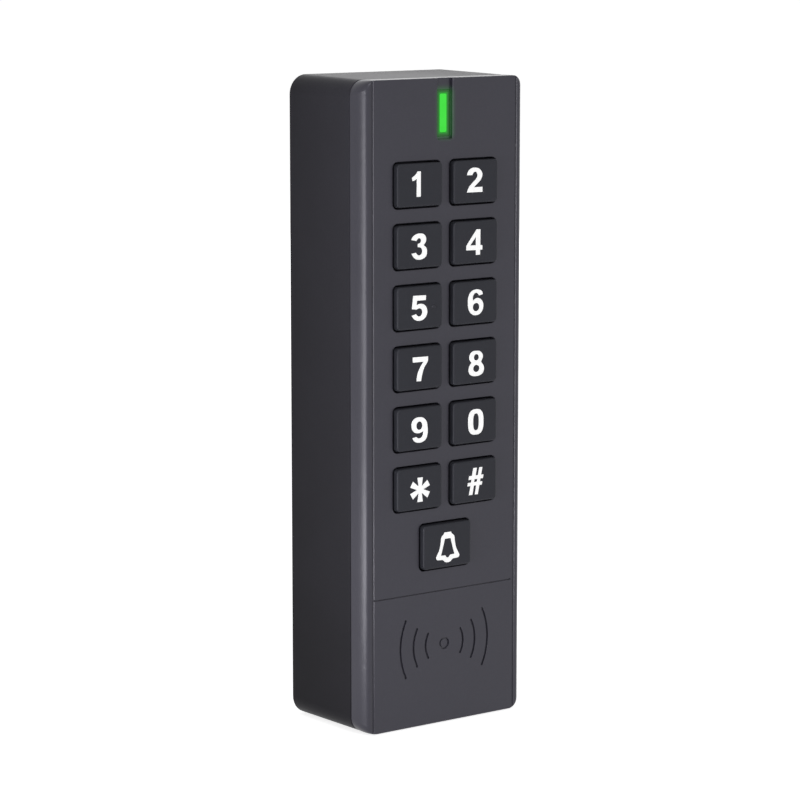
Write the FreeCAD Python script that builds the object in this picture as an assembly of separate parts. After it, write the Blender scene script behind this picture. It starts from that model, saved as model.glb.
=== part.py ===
import FreeCAD, Part
import math
import os

# Wall-mounted contactless card reader with a 13-key keypad, in millimetres.
# +Z is up, the front faces -Y and the wall is the plane y = 0.
# The origin is the middle of the wall plate's rear face.

# Walls and fits of the housing
side_wall = 2.0
front_wall = 2.0
lip_thickness = 0.9
lip_clearance = 0.15
lip_depth = 1.55
face_corner_radius = 2.0
seam_corner_radius = 3.5
rear_corner_radius = 4.3
inner_corner_radius = 2.0
shoulder_inset = 2.05
seam_depth = 4.4
shoulder_start = 60.0
shoulder_steps = 5
seam_chamfer = 0.2
draft_growth = 0.34
wall_gap = 0.3
seal_width = 0.8
seal_depth = 1.0

# Keys, and the flanges that hold them behind the front wall
key_width = 12.4
key_height = 9.5
key_radius = 0.8
bell_width = 13.4
bell_height = 10.0
key_gap = 0.35
key_edge = 0.45
key_wall = 1.4
key_proud = 1.2
key_travel = 0.8
flange_overlap = 0.65
flange_thickness = 1.0
flange_clearance = 0.1
stem_radius = 1.9
stem_length = 0.85
hole_chamfer = 0.15
nib_radius = 0.6
nib_proud = 0.35
nib_offset = 3.8

# Layout of the front, from the top edge down
row_count = 6
channel_length = 13.4
header_gap = 3.9
row_gap = 1.98
bell_gap = 2.0
divider_gap = 4.4
reading_height = 30.4
column_gap = 1.17

# Grooves in the front face
rail_width = 0.7
rail_floor_width = 0.3
rail_depth = 0.3
rail_inset = 0.85
divider_width = 0.35
divider_depth = 0.3
divider_stop = 0.8
channel_half_width = 2.1
channel_depth = 0.8
channel_radius = 0.3
channel_chamfer = 0.2
symbol_rise = 18.1
symbol_dot_radius = 1.4
symbol_ring_width = 0.45
symbol_dot_recess = 0.1
wave_width = 0.58
engraving_depth = 0.35

# Each wave of the symbol: how far out it stands, its bend radius and half its length
inner_wave = (5.3, 5.4, 2.75)
middle_wave = (8.7, 9.3, 4.3)
outer_wave = (12.35, 14.8, 6.5)

# Indicator
window_half_width = 1.9
window_margin = 0.6
window_flange = 0.8
window_end_flange = 0.5
window_flange_thickness = 1.0
light_bar_half_width = 0.9
light_bar_margin = 0.9
light_bar_radius = 0.4
optic_clearance = 0.05
pipe_collar = 0.6
led_width = 1.6
led_height = 0.8
led_thickness = 0.7
led_gap = 0.1
led_pitch = 3.0

# Silicone mat and its contacts
mat_thickness = 1.0
mat_margin = 1.0
mat_radius = 2.0
dome_rise = 1.8
dome_plateau = 0.6
dome_base_radius = 4.0
dome_top_radius = 2.5
dome_web = 0.5
dome_clearance = 0.05
post_radius = 1.7
pill_radius = 1.6
pill_thickness = 0.3
pad_radius = 1.9
pad_thickness = 0.05
backlight_length = 1.0
backlight_width = 0.5

# Circuit board and what stands on its rear
board_thickness = 1.6
board_clearance = 0.5
package_radius = 0.3
processor_side = 7.0
processor_thickness = 1.2
processor_lead_pitch = 0.54
processor_lead_half_width = 0.12
processor_lead_reach = 0.5
processor_lead_height = 0.25
chip_side = 5.0
chip_thickness = 0.9
chip_rise = 20.1
crystal_length = 5.0
crystal_width = 3.2
crystal_thickness = 1.1
crystal_radius = 0.8
crystal_gap = 2.0
regulator_length = 6.5
regulator_width = 3.5
regulator_thickness = 1.7
regulator_tab = 1.5
regulator_pin_half_width = 0.35
regulator_pin_height = 0.4
inductor_side = 6.0
inductor_thickness = 3.0
inductor_radius = 1.5
capacitor_radius = 3.15
capacitor_base = 6.6
capacitor_base_height = 1.0
capacitor_base_radius = 0.8
capacitor_height = 7.7
capacitor_edge = 0.4
buzzer_radius = 6.0
buzzer_height = 6.5
buzzer_edge = 0.5
buzzer_port_radius = 1.0
buzzer_port_depth = 1.5
header_length = 13.0
header_width = 5.6
header_height = 7.0
header_wall = 0.8
header_floor = 1.5
header_pin_half_width = 0.3
header_pin_pitch = 2.17
header_pin_sink = 1.5
sensor_length = 3.4
sensor_width = 2.6
sensor_height = 1.8
sensor_lens_radius = 0.87
sensor_lens_height = 2.7
wire_room = 2.7

# Antenna
ferrite_thickness = 0.5
ferrite_margin = 0.3
ferrite_corner_radius = 1.0
former_height = 3.0
former_corner_radius = 2.0
former_window_radius = 1.0
former_flange = 0.5
former_wall = 2.0
coil_depth = 1.5
coil_inset = 0.2
antenna_gap = 0.8
antenna_divider_gap = 0.5

# Screws
screw_radius = 1.1
screw_head_radius = 2.1
screw_head_height = 1.5
board_screw_length = 5.0
screw_tip_share = 0.4
screw_head_round = 0.35
slot_length_share = 0.62
slot_width_share = 0.13
slot_floor_share = 0.45
thread_clearance = 0.03
shaft_clearance = 0.3
head_clearance = 0.25
head_recess = 0.4
boss_radius = 2.0
boss_gap = 0.315
boss_lip_gap = 0.45
boss_end_gap = 1.95
rear_boss_wall = 1.0
pilot_spare = 0.6

# Rear of the housing, wall plate and cable inlet
bulkhead_thickness = 2.0
plate_thickness = 2.0
plate_clearance = 0.5
plate_radius = 2.0
ledge_thickness = 1.7
ledge_width = 18.0
ledge_drop = 3.0
hook_width = 14.0
hook_gap = 0.2
hook_thickness = 1.5
hook_arm = 3.2
hook_reach = 2.5
hook_drop_gap = 0.3
hook_bulkhead_gap = 0.6
fixing_pitch = 83.3
fixing_radius = 2.2
cable_offset = 14.0
cable_window_width = 12.0
cable_window_height = 16.0
cable_window_radius = 3.0
cable_bore_radius = 2.6
grommet_radius = 4.0
grommet_flange = 1.2
grommet_flange_thickness = 0.8
sensor_window_radius = 1.6
security_radius = 1.25
security_head_radius = 2.2
security_head_height = 1.6
security_sink = 0.3
foot_thickness = 1.5
foot_width = 10.0
tab_width = 9.0
tab_height = 4.0
tab_gap = 0.1
tab_bulkhead_gap = 0.2
tip_gap = 0.5

# Across the body, from the keys out to the sides
flange_reach = key_gap + flange_overlap
flange_width = key_width + 2 * flange_reach
flange_height = key_height + 2 * flange_reach
bell_flange_height = bell_height + 2 * flange_reach
column_x = (flange_width + column_gap) / 2
boss_x = column_x + flange_width / 2 + boss_gap + boss_radius
lip_half_width = boss_x + boss_radius + boss_lip_gap
inner_half_width = lip_half_width + lip_thickness + lip_clearance
half_width = inner_half_width + side_wall
face_half_width = half_width - shoulder_inset

# Down the body, from the top edge to the bottom edge
header_height_total = channel_length + header_gap
rows_height = row_count * flange_height + (row_count - 1) * row_gap
bell_block_height = bell_gap + bell_flange_height + divider_gap
half_height = (header_height_total + rows_height + bell_block_height + reading_height) / 2
inner_half_height = half_height - side_wall
lip_half_height = inner_half_height - lip_clearance - lip_thickness
channel_bottom_z = half_height - channel_length
first_row_z = channel_bottom_z - header_gap - flange_height / 2
row_pitch = flange_height + row_gap
last_row_z = first_row_z - (row_count - 1) * row_pitch
bell_z = last_row_z - flange_height / 2 - bell_gap - bell_flange_height / 2
divider_z = bell_z - bell_flange_height / 2 - divider_gap
symbol_z = symbol_rise - half_height
boss_z = lip_half_height - boss_end_gap - boss_radius
middle_boss_z = first_row_z - (row_count / 2 - 0.5) * row_pitch
cable_z = -cable_offset
buzzer_z = channel_bottom_z - header_gap + buzzer_port_radius
sensor_x = buzzer_radius + sensor_length
chip_z = board_clearance - inner_half_height + chip_rise

# Through the body, from the wall forward
plate_front_y = -plate_thickness
hook_room = ledge_thickness + hook_gap + hook_thickness + hook_bulkhead_gap
bulkhead_rear_y = plate_front_y - hook_room
bulkhead_front_y = bulkhead_rear_y - bulkhead_thickness
board_rear_y = bulkhead_front_y - capacitor_height - wire_room
board_front_y = board_rear_y - board_thickness
mat_front_y = board_front_y - mat_thickness
dome_top_y = mat_front_y - dome_rise
stem_end_y = dome_top_y - dome_clearance
flange_rear_y = stem_end_y - stem_length
flange_front_y = flange_rear_y - flange_thickness
wall_inner_y = flange_front_y - flange_clearance
face_y = wall_inner_y - front_wall
key_front_y = face_y - key_proud
seam_y = face_y + seam_depth
channel_floor_y = face_y + channel_depth

# Indicator window and light bar, centred in the channel
window_top_z = inner_half_height - window_margin
window_bottom_z = channel_bottom_z + window_margin
window_z = (window_top_z + window_bottom_z) / 2
window_half_height = (window_top_z - window_bottom_z) / 2
light_bar_half_height = window_half_height - light_bar_margin

# Antenna, between the divider and the bottom wall
antenna_top_z = divider_z + antenna_divider_gap
antenna_bottom_z = boss_gap + boss_lip_gap - lip_half_height + former_flange
antenna_z = (antenna_top_z + antenna_bottom_z) / 2
antenna_half_height = (antenna_top_z - antenna_bottom_z) / 2
antenna_half_width = boss_x - boss_radius - antenna_gap
former_front_y = board_front_y - ferrite_thickness - former_height


def box(half_x, y_front, y_rear, z_low, z_high, x=0.0):
    size = (2 * half_x, y_rear - y_front, z_high - z_low)
    return Part.makeBox(*size, FreeCAD.Vector(x - half_x, y_front, z_low))


def disc(radius, y_front, y_rear, x=0.0, z=0.0):
    """A cylinder along Y."""
    base = FreeCAD.Vector(x, y_front, z)
    return Part.makeCylinder(radius, y_rear - y_front, base, FreeCAD.Vector(0, 1, 0))


def cone(radius_front, radius_rear, y_front, y_rear, x=0.0, z=0.0):
    base = FreeCAD.Vector(x, y_front, z)
    axis = FreeCAD.Vector(0, 1, 0)
    return Part.makeCone(radius_front, radius_rear, y_rear - y_front, base, axis)


def outline(half_x, half_z, radius, y, x=0.0, z=0.0):
    """A rounded rectangle in the plane y, as a closed wire."""
    def point(u, w):
        return FreeCAD.Vector(x + u, y, z + w)

    diagonal = radius * (1 - math.sqrt(0.5))
    edges = []
    for turn in range(4):
        angle = turn * math.pi / 2
        side = half_x if turn % 2 == 0 else half_z
        reach = half_z if turn % 2 == 0 else half_x
        cosine = round(math.cos(angle))
        sine = round(math.sin(angle))

        def place(a, b):
            return point(a * cosine - b * sine, a * sine + b * cosine)

        start = place(side, radius - reach)
        end = place(side, reach - radius)
        corner = place(side - diagonal, reach - diagonal)
        after = place(side - radius, reach)
        edges.append(Part.LineSegment(start, end).toShape())
        edges.append(Part.Arc(end, corner, after).toShape())
    return Part.Wire(edges)


def slab(half_x, half_z, radius, y_front, y_rear, x=0.0, z=0.0):
    """A rounded rectangle carried along Y."""
    face = Part.Face(outline(half_x, half_z, radius, y_front, x, z))
    return face.extrude(FreeCAD.Vector(0, y_rear - y_front, 0))


def loft(front, rear):
    """The solid between two outlines."""
    return Part.makeLoft([front, rear], True, True)


def edge_cut(half_x, half_z, radius, chamfer, x, z):
    """The bevel around an opening in the face; the sizes are those of the opening."""
    front = outline(half_x + chamfer, half_z + chamfer, radius + chamfer, face_y, x, z)
    rear = outline(half_x, half_z, radius, face_y + chamfer, x, z)
    return loft(front, rear)


def ring(half_x, half_z, radius, thickness, y_front, y_rear, z=0.0):
    """A rounded rectangular band; half_x, half_z and radius are its outer ones."""
    outer = slab(half_x, half_z, radius, y_front, y_rear, 0.0, z)
    inner = slab(half_x - thickness, half_z - thickness, radius - thickness, y_front, y_rear, 0.0, z)
    return outer.cut(inner)


def at_height(shape, axis, height):
    """The edges of shape whose middle is at height along the axis, given as 1 for Y and 2 for Z."""
    return [edge for edge in shape.Edges if abs(edge.CenterOfMass[axis] - height) < 0.001]


def screw(radius, length, head_radius, head_height):
    """A pan-headed screw with its tip down, and the underside of its head at the origin."""
    shaft = Part.makeCylinder(radius, length, FreeCAD.Vector(0, 0, -length))
    shaft = shaft.makeChamfer(radius * screw_tip_share, at_height(shaft, 2, -length))
    head = Part.makeCylinder(head_radius, head_height)
    head = head.makeFillet(head_height * screw_head_round, at_height(head, 2, head_height))
    body = shaft.fuse(head)
    arm = head_radius * slot_length_share
    half_slot = head_radius * slot_width_share
    floor = head_height * slot_floor_share
    for half_x, half_y in ((arm, half_slot), (half_slot, arm)):
        corner = FreeCAD.Vector(-half_x, -half_y, floor)
        body = body.cut(Part.makeBox(2 * half_x, 2 * half_y, head_height, corner))
    return body.removeSplitter()


def screw_forward(x, seat_y, z, length):
    """A housing screw driven from the rear, with its head seated at seat_y."""
    body = screw(screw_radius, length, screw_head_radius, screw_head_height)
    body.rotate(FreeCAD.Vector(0, 0, 0), FreeCAD.Vector(1, 0, 0), -90)
    body.translate(FreeCAD.Vector(x, seat_y, z))
    return body


def key_places():
    """Name, x, z, width and height of each key."""
    labels = ("1", "2", "3", "4", "5", "6", "7", "8", "9", "0", "star", "hash")
    places = []
    for index, label in enumerate(labels):
        x = column_x if index % 2 else -column_x
        z = first_row_z - (index // 2) * row_pitch
        places.append((label, x, z, key_width, key_height))
    places.append(("bell", 0.0, bell_z, bell_width, bell_height))
    return places


def corner_bosses():
    return [(x, z) for x in (-boss_x, boss_x) for z in (-boss_z, boss_z)]


def middle_bosses():
    return [(x, middle_boss_z) for x in (-boss_x, boss_x)]


def shoulder_outline(turn):
    """The cover's outline at one angle around its elliptical shoulder; the angle is 0 at the flat face."""
    rise = seam_depth - seam_chamfer
    across = shoulder_inset / math.sin(math.radians(shoulder_start))
    forward = rise / (1 - math.cos(math.radians(shoulder_start)))
    depth = forward * (1 - math.cos(math.radians(turn)))
    half_x = face_half_width + across * math.sin(math.radians(turn))
    radius = face_corner_radius + (seam_corner_radius - face_corner_radius) * depth / rise
    return outline(half_x, half_height, radius, face_y + depth)


def shoulder_form():
    """The rounded front of the cover, as one smooth loft from the flat face back to the seam."""
    turns = [shoulder_start * step / shoulder_steps for step in range(shoulder_steps + 1)]
    return Part.makeLoft([shoulder_outline(turn) for turn in turns], True)


def rail_groove(side):
    """One of the two upright grooves that border the front panel, with leaning walls."""
    x = side * (face_half_width - rail_inset)
    half = rail_width / 2
    floor_half = rail_floor_width / 2
    corners = [(x - half, face_y), (x - floor_half, face_y + rail_depth)]
    corners += [(x + floor_half, face_y + rail_depth), (x + half, face_y), (x, face_y - rail_depth)]
    points = [FreeCAD.Vector(u, v, -half_height) for u, v in corners]
    face = Part.Face(Part.makePolygon(points + points[:1]))
    return face.extrude(FreeCAD.Vector(0, 0, 2 * half_height))


def wave_groove(side, apex, radius, half_length):
    """One engraved arc of the contactless symbol, with round ends."""
    half = wave_width / 2
    sweep = math.asin(half_length / radius)
    centre_x = apex - radius

    def on_arc(distance, angle):
        u = centre_x + distance * math.cos(angle)
        return FreeCAD.Vector(side * u, face_y, symbol_z + distance * math.sin(angle))

    def round_end(first, last, angle, lean):
        u = centre_x + radius * math.cos(angle) - lean * half * math.sin(angle)
        w = radius * math.sin(angle) + lean * half * math.cos(angle)
        middle = FreeCAD.Vector(side * u, face_y, symbol_z + w)
        return Part.Arc(first, middle, last).toShape()

    outer = Part.Arc(on_arc(radius + half, -sweep), on_arc(radius + half, 0),
                     on_arc(radius + half, sweep)).toShape()
    inner = Part.Arc(on_arc(radius - half, sweep), on_arc(radius - half, 0),
                     on_arc(radius - half, -sweep)).toShape()
    top = round_end(on_arc(radius + half, sweep), on_arc(radius - half, sweep), sweep, 1)
    bottom = round_end(on_arc(radius - half, -sweep), on_arc(radius + half, -sweep), -sweep, -1)
    face = Part.Face(Part.Wire([outer, top, inner, bottom]))
    return face.extrude(FreeCAD.Vector(0, engraving_depth, 0))


def key_opening(x, z, width, height):
    half_x = width / 2 + key_gap
    half_z = height / 2 + key_gap
    radius = key_radius + key_gap
    hole = slab(half_x, half_z, radius, face_y, wall_inner_y, x, z)
    return hole.fuse(edge_cut(half_x, half_z, radius, hole_chamfer, x, z))


def channel_opening():
    """The sunk channel of the indicator, which runs out over the top edge."""
    half_z = channel_length / 2 + channel_radius
    z = channel_bottom_z + half_z
    sunk = slab(channel_half_width, half_z, channel_radius, face_y, channel_floor_y, 0.0, z)
    return sunk.fuse(edge_cut(channel_half_width, half_z, channel_radius, channel_chamfer, 0.0, z))


def window_opening():
    half_x = window_half_width + optic_clearance
    half_z = window_half_height + optic_clearance
    return slab(half_x, half_z, light_bar_radius, channel_floor_y, wall_inner_y, 0.0, window_z)


def divider_groove():
    """The thin line above the reading area; it stops short of the right-hand groove."""
    left = rail_inset - face_half_width
    right = face_half_width - rail_inset - divider_stop
    half_z = divider_width / 2
    return box((right - left) / 2, face_y, face_y + divider_depth, divider_z - half_z,
               divider_z + half_z, (left + right) / 2)


def symbol_grooves():
    floor_y = face_y + engraving_depth
    island = disc(symbol_dot_radius - symbol_ring_width, face_y + symbol_dot_recess, floor_y, 0.0, symbol_z)
    grooves = [disc(symbol_dot_radius, face_y, floor_y, 0.0, symbol_z).cut(island)]
    for apex, radius, half_length in (inner_wave, middle_wave, outer_wave):
        for side in (-1, 1):
            grooves.append(wave_groove(side, apex, radius, half_length))
    return grooves


def cover_shell():
    """The outer form of the cover: rounded shoulders, and corners that open out towards the seam."""
    full_outline = shoulder_outline(shoulder_start)
    seam_outline = outline(half_width - seam_chamfer, half_height - seam_chamfer,
                           seam_corner_radius - seam_chamfer, seam_y)
    shell = shoulder_form().fuse(loft(full_outline, seam_outline))
    return shell.cut(slab(inner_half_width, inner_half_height, inner_corner_radius, wall_inner_y, seam_y))


def cover_lip():
    """The rim that enters the housing, broken at the top for the window."""
    lip = ring(lip_half_width + lip_thickness, lip_half_height + lip_thickness, inner_corner_radius,
               lip_thickness, wall_inner_y, seam_y + lip_depth)
    notch_half = window_half_width + window_flange + optic_clearance + lip_clearance
    return lip.cut(box(notch_half, wall_inner_y, seam_y + lip_depth, 0, half_height))


def make_front_cover():
    shell = cover_shell().fuse(cover_lip())
    bosses = corner_bosses() + middle_bosses()
    for x, z in bosses:
        shell = shell.fuse(disc(boss_radius, wall_inner_y, board_front_y, x, z))
    for x, z in bosses:
        shell = shell.cut(disc(screw_radius + thread_clearance, wall_inner_y, board_front_y, x, z))
    for label, x, z, width, height in key_places():
        shell = shell.cut(key_opening(x, z, width, height))
    cuts = [rail_groove(-1), rail_groove(1), channel_opening(), window_opening(), divider_groove()]
    for groove in cuts + symbol_grooves():
        shell = shell.cut(groove)
    return shell


def rear_boss_outer():
    return screw_head_radius + head_clearance + rear_boss_wall


def housing_form():
    """The deep rear half: it widens slightly towards the wall, and its corners open out."""
    seam_outline = outline(half_width - seam_chamfer, half_height - seam_chamfer,
                           seam_corner_radius - seam_chamfer, seam_y)
    full_outline = outline(half_width, half_height, seam_corner_radius, seam_y + seam_chamfer)
    rear_outline = outline(half_width + draft_growth, half_height + draft_growth,
                           rear_corner_radius, -wall_gap)
    return loft(seam_outline, full_outline).fuse(loft(full_outline, rear_outline))


def housing_shell():
    """The outer form, hollowed in front of and behind the bulkhead."""
    shell = housing_form()
    for y_front, y_rear in ((seam_y, bulkhead_front_y), (bulkhead_rear_y, -wall_gap)):
        shell = shell.cut(slab(inner_half_width, inner_half_height, inner_corner_radius, y_front, y_rear))
    shell = shell.cut(make_seal())
    shell = shell.cut(disc(grommet_radius, bulkhead_front_y, bulkhead_rear_y, 0.0, cable_z))
    return shell.cut(disc(sensor_window_radius, bulkhead_front_y, bulkhead_rear_y, sensor_x, buzzer_z))


def security_hole():
    """The stepped hole of the security screw, up through the bottom wall and the foot."""
    low = -half_height - draft_growth
    base = FreeCAD.Vector(0, security_y(), low)
    axis = FreeCAD.Vector(0, 0, 1)
    length = foot_thickness - inner_half_height - low
    hole = Part.makeCylinder(security_radius + shaft_clearance, length, base, axis)
    recess_length = security_seat_z() - low
    return hole.fuse(Part.makeCylinder(security_head_radius + head_clearance, recess_length, base, axis))


def make_rear_housing():
    shell = housing_shell()
    for x, z in corner_bosses():
        shell = shell.fuse(disc(rear_boss_outer(), board_rear_y, bulkhead_front_y, x, z))
    recess_front_y = bulkhead_rear_y - screw_head_height - head_recess
    for x, z in corner_bosses():
        shell = shell.cut(disc(screw_radius + shaft_clearance, board_rear_y, bulkhead_rear_y, x, z))
        shell = shell.cut(disc(screw_head_radius + head_clearance, recess_front_y, bulkhead_rear_y, x, z))
    ledge = box(ledge_width / 2, plate_front_y - ledge_thickness, plate_front_y,
                inner_half_height - ledge_drop, inner_half_height)
    foot = box(foot_width / 2, bulkhead_rear_y, plate_front_y,
               -inner_half_height, foot_thickness - inner_half_height)
    return shell.fuse(ledge).fuse(foot).cut(security_hole())


def make_seal():
    half_x = inner_half_width + (side_wall + seal_width) / 2
    half_z = inner_half_height + (side_wall + seal_width) / 2
    radius = seam_corner_radius - (side_wall - seal_width) / 2
    return ring(half_x, half_z, radius, seal_width, seam_y, seam_y + seal_depth)


def security_y():
    """The security screw's axis, in the middle of the wall plate's tab."""
    return (plate_front_y + bulkhead_rear_y + tab_bulkhead_gap) / 2


def security_seat_z():
    return security_sink + security_head_height - half_height


def make_wall_plate():
    half_x = inner_half_width - plate_clearance
    half_z = inner_half_height - plate_clearance
    plate = slab(half_x, half_z, plate_radius, plate_front_y, 0.0)
    ledge_low_z = inner_half_height - ledge_drop
    arm_top_z = ledge_low_z - hook_drop_gap
    hook_front_y = plate_front_y - ledge_thickness - hook_gap - hook_thickness
    plate = plate.fuse(box(hook_width / 2, hook_front_y, plate_front_y, arm_top_z - hook_arm, arm_top_z))
    plate = plate.fuse(box(hook_width / 2, hook_front_y, hook_front_y + hook_thickness,
                           arm_top_z - hook_arm, arm_top_z + hook_reach))
    tab_low_z = foot_thickness - inner_half_height + tab_gap
    plate = plate.fuse(box(tab_width / 2, bulkhead_rear_y + tab_bulkhead_gap, plate_front_y,
                           tab_low_z, tab_low_z + tab_height))
    hole_base = FreeCAD.Vector(0, security_y(), tab_low_z)
    hole_radius = security_radius + thread_clearance
    plate = plate.cut(Part.makeCylinder(hole_radius, tab_height, hole_base, FreeCAD.Vector(0, 0, 1)))
    plate = plate.cut(slab(cable_window_width / 2, cable_window_height / 2, cable_window_radius,
                           plate_front_y, 0.0, 0.0, cable_z))
    for side in (-1, 1):
        plate = plate.cut(disc(fixing_radius, plate_front_y, 0.0, 0.0, side * fixing_pitch / 2))
    return plate


def make_security_screw():
    tab_top_z = foot_thickness - inner_half_height + tab_gap + tab_height
    length = tab_top_z - tip_gap - security_seat_z()
    body = screw(security_radius, length, security_head_radius, security_head_height)
    body.rotate(FreeCAD.Vector(0, 0, 0), FreeCAD.Vector(1, 0, 0), 180)
    body.translate(FreeCAD.Vector(0, security_y(), security_seat_z()))
    return body


def make_key(x, z, width, height, with_nib):
    half_x = width / 2
    half_z = height / 2
    cap = slab(half_x, half_z, key_radius, key_front_y, flange_front_y, x, z)
    cap = cap.makeFillet(key_edge, at_height(cap, 1, key_front_y))
    flange = slab(half_x + flange_reach, half_z + flange_reach, key_radius + flange_reach,
                  flange_front_y, flange_rear_y, x, z)
    hollow = slab(half_x - key_wall, half_z - key_wall, key_radius, key_front_y + key_wall,
                  flange_rear_y, x, z)
    stem = disc(stem_radius, key_front_y + key_wall, stem_end_y, x, z)
    cap = cap.fuse(flange).cut(hollow).fuse(stem)
    if with_nib:
        centre = FreeCAD.Vector(x + nib_offset, key_front_y + nib_radius - nib_proud, z)
        cap = cap.fuse(Part.makeSphere(nib_radius, centre))
    return cap.removeSplitter()


def make_indicator_window():
    window = slab(window_half_width, window_half_height, light_bar_radius, channel_floor_y, wall_inner_y,
                  0.0, window_z)
    flange = slab(window_half_width + window_flange, window_half_height + window_end_flange,
                  light_bar_radius, wall_inner_y, wall_inner_y + window_flange_thickness, 0.0, window_z)
    slot = slab(light_bar_half_width + optic_clearance, light_bar_half_height + optic_clearance,
                light_bar_radius + optic_clearance, channel_floor_y,
                wall_inner_y + window_flange_thickness, 0.0, window_z)
    return window.fuse(flange).cut(slot)


def make_light_pipe():
    rear_y = board_front_y - led_thickness - led_gap
    bar = slab(light_bar_half_width, light_bar_half_height, light_bar_radius, channel_floor_y, rear_y,
               0.0, window_z)
    collar_y = wall_inner_y + window_flange_thickness
    collar = slab(light_bar_half_width + pipe_collar, light_bar_half_height + pipe_collar,
                  light_bar_radius, collar_y, collar_y + pipe_collar, 0.0, window_z)
    return bar.fuse(collar)


def make_indicator_leds():
    leds = []
    for step in (-1, 0, 1):
        z = window_z + step * led_pitch
        leds.append(box(led_width / 2, board_front_y - led_thickness, board_front_y,
                        z - led_height / 2, z + led_height / 2))
    return Part.makeCompound(leds)


def make_keypad_mat():
    half_x = column_x + flange_width / 2
    top_z = first_row_z + flange_height / 2 + mat_margin
    bottom_z = bell_z - bell_flange_height / 2 - mat_margin
    middle_z = (top_z + bottom_z) / 2
    mat = slab(half_x, (top_z - bottom_z) / 2, mat_radius, mat_front_y, board_front_y, 0.0, middle_z)
    plateau_y = dome_top_y + dome_plateau
    cavity_radius = dome_base_radius - dome_web
    for label, x, z, width, height in key_places():
        dome = cone(dome_top_radius, dome_base_radius, plateau_y, mat_front_y, x, z)
        dome = dome.fuse(disc(dome_top_radius, dome_top_y, plateau_y, x, z))
        mat = mat.fuse(dome)
        hollow = cone(dome_top_radius - dome_web, cavity_radius, plateau_y, mat_front_y, x, z)
        mat = mat.cut(hollow)
        mat = mat.cut(disc(cavity_radius, mat_front_y, board_front_y, x, z))
        mat = mat.fuse(disc(post_radius, plateau_y, pill_front_y(), x, z))
    return mat


def pill_front_y():
    """Each carbon pill hangs one key stroke above its contact pad."""
    return board_front_y - pad_thickness - key_travel - pill_thickness


def make_contact_pills():
    front_y = pill_front_y()
    pills = [disc(pill_radius, front_y, front_y + pill_thickness, x, z)
             for label, x, z, width, height in key_places()]
    return Part.makeCompound(pills)


def make_contact_pads():
    pads = [disc(pad_radius, board_front_y - pad_thickness, board_front_y, x, z)
            for label, x, z, width, height in key_places()]
    return Part.makeCompound(pads)


def make_key_backlights():
    leds = []
    cavity_radius = dome_base_radius - dome_web
    offset = (pad_radius + cavity_radius) / 2
    for label, x, z, width, height in key_places():
        leds.append(box(backlight_length / 2, board_front_y - backlight_width, board_front_y,
                        z - backlight_width / 2, z + backlight_width / 2, x + offset))
    return Part.makeCompound(leds)


def make_main_board():
    half_x = inner_half_width - board_clearance
    half_z = inner_half_height - board_clearance
    board = slab(half_x, half_z, inner_corner_radius, board_front_y, board_rear_y)
    for x, z in corner_bosses() + middle_bosses():
        board = board.cut(disc(screw_radius + shaft_clearance, board_front_y, board_rear_y, x, z))
    return board


def on_board(half_x, half_z, height, x, z):
    """A component's box, standing on the rear of the board."""
    return box(half_x, board_rear_y, board_rear_y + height, z - half_z, z + half_z, x)


def rear_block(half_x, half_z, radius, height, x, z):
    return slab(half_x, half_z, radius, board_rear_y, board_rear_y + height, x, z)


def make_microcontroller():
    half = processor_side / 2
    z = first_row_z - row_pitch
    chip = rear_block(half, half, package_radius, processor_thickness, 0.0, z)
    thin = processor_lead_half_width
    reach = processor_lead_reach
    for step in range(-5, 6):
        offset = step * processor_lead_pitch
        for side in (-1, 1):
            chip = chip.fuse(on_board(thin, reach, processor_lead_height, offset, z + side * half))
            chip = chip.fuse(on_board(reach, thin, processor_lead_height, side * half, z + offset))
    return chip


def make_reader_chip():
    half = chip_side / 2
    return rear_block(half, half, package_radius, chip_thickness, 0.0, chip_z)


def make_crystal():
    x = (chip_side + crystal_length) / 2 + crystal_gap
    return rear_block(crystal_length / 2, crystal_width / 2, crystal_radius, crystal_thickness, x, chip_z)


def make_voltage_regulator():
    x = -column_x
    z = first_row_z - 2 * row_pitch
    half_z = regulator_width / 2
    body = rear_block(regulator_length / 2, half_z, package_radius, regulator_thickness, x, z)
    body = body.fuse(on_board(regulator_tab, regulator_tab, regulator_pin_height, x, z + half_z))
    for step in (-1, 0, 1):
        pin_x = x + step * regulator_length / 3
        pin = on_board(regulator_pin_half_width, regulator_tab, regulator_pin_height, pin_x, z - half_z)
        body = body.fuse(pin)
    return body


def make_power_inductor():
    half = inductor_side / 2
    z = first_row_z - 2 * row_pitch
    return rear_block(half, half, inductor_radius, inductor_thickness, column_x, z)


def make_electrolytic_capacitor():
    z = first_row_z - 3 * row_pitch
    half = capacitor_base / 2
    top_y = board_rear_y + capacitor_height
    base = rear_block(half, half, capacitor_base_radius, capacitor_base_height, 0.0, z)
    can = disc(capacitor_radius, board_rear_y + capacitor_base_height, top_y, 0.0, z)
    return base.fuse(can.makeFillet(capacitor_edge, at_height(can, 1, top_y)))


def make_buzzer():
    rear_y = board_rear_y + buzzer_height
    body = disc(buzzer_radius, board_rear_y, rear_y, 0.0, buzzer_z)
    body = body.makeFillet(buzzer_edge, at_height(body, 1, rear_y))
    return body.cut(disc(buzzer_port_radius, rear_y - buzzer_port_depth, rear_y, 0.0, buzzer_z))


def make_tamper_sensor():
    """It looks at the wall plate through a window in the bulkhead."""
    block = rear_block(sensor_length / 2, sensor_width / 2, package_radius, sensor_height,
                       sensor_x, buzzer_z)
    lens_rear_y = board_rear_y + sensor_lens_height
    return block.fuse(disc(sensor_lens_radius, board_rear_y, lens_rear_y, sensor_x, buzzer_z))


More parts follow.
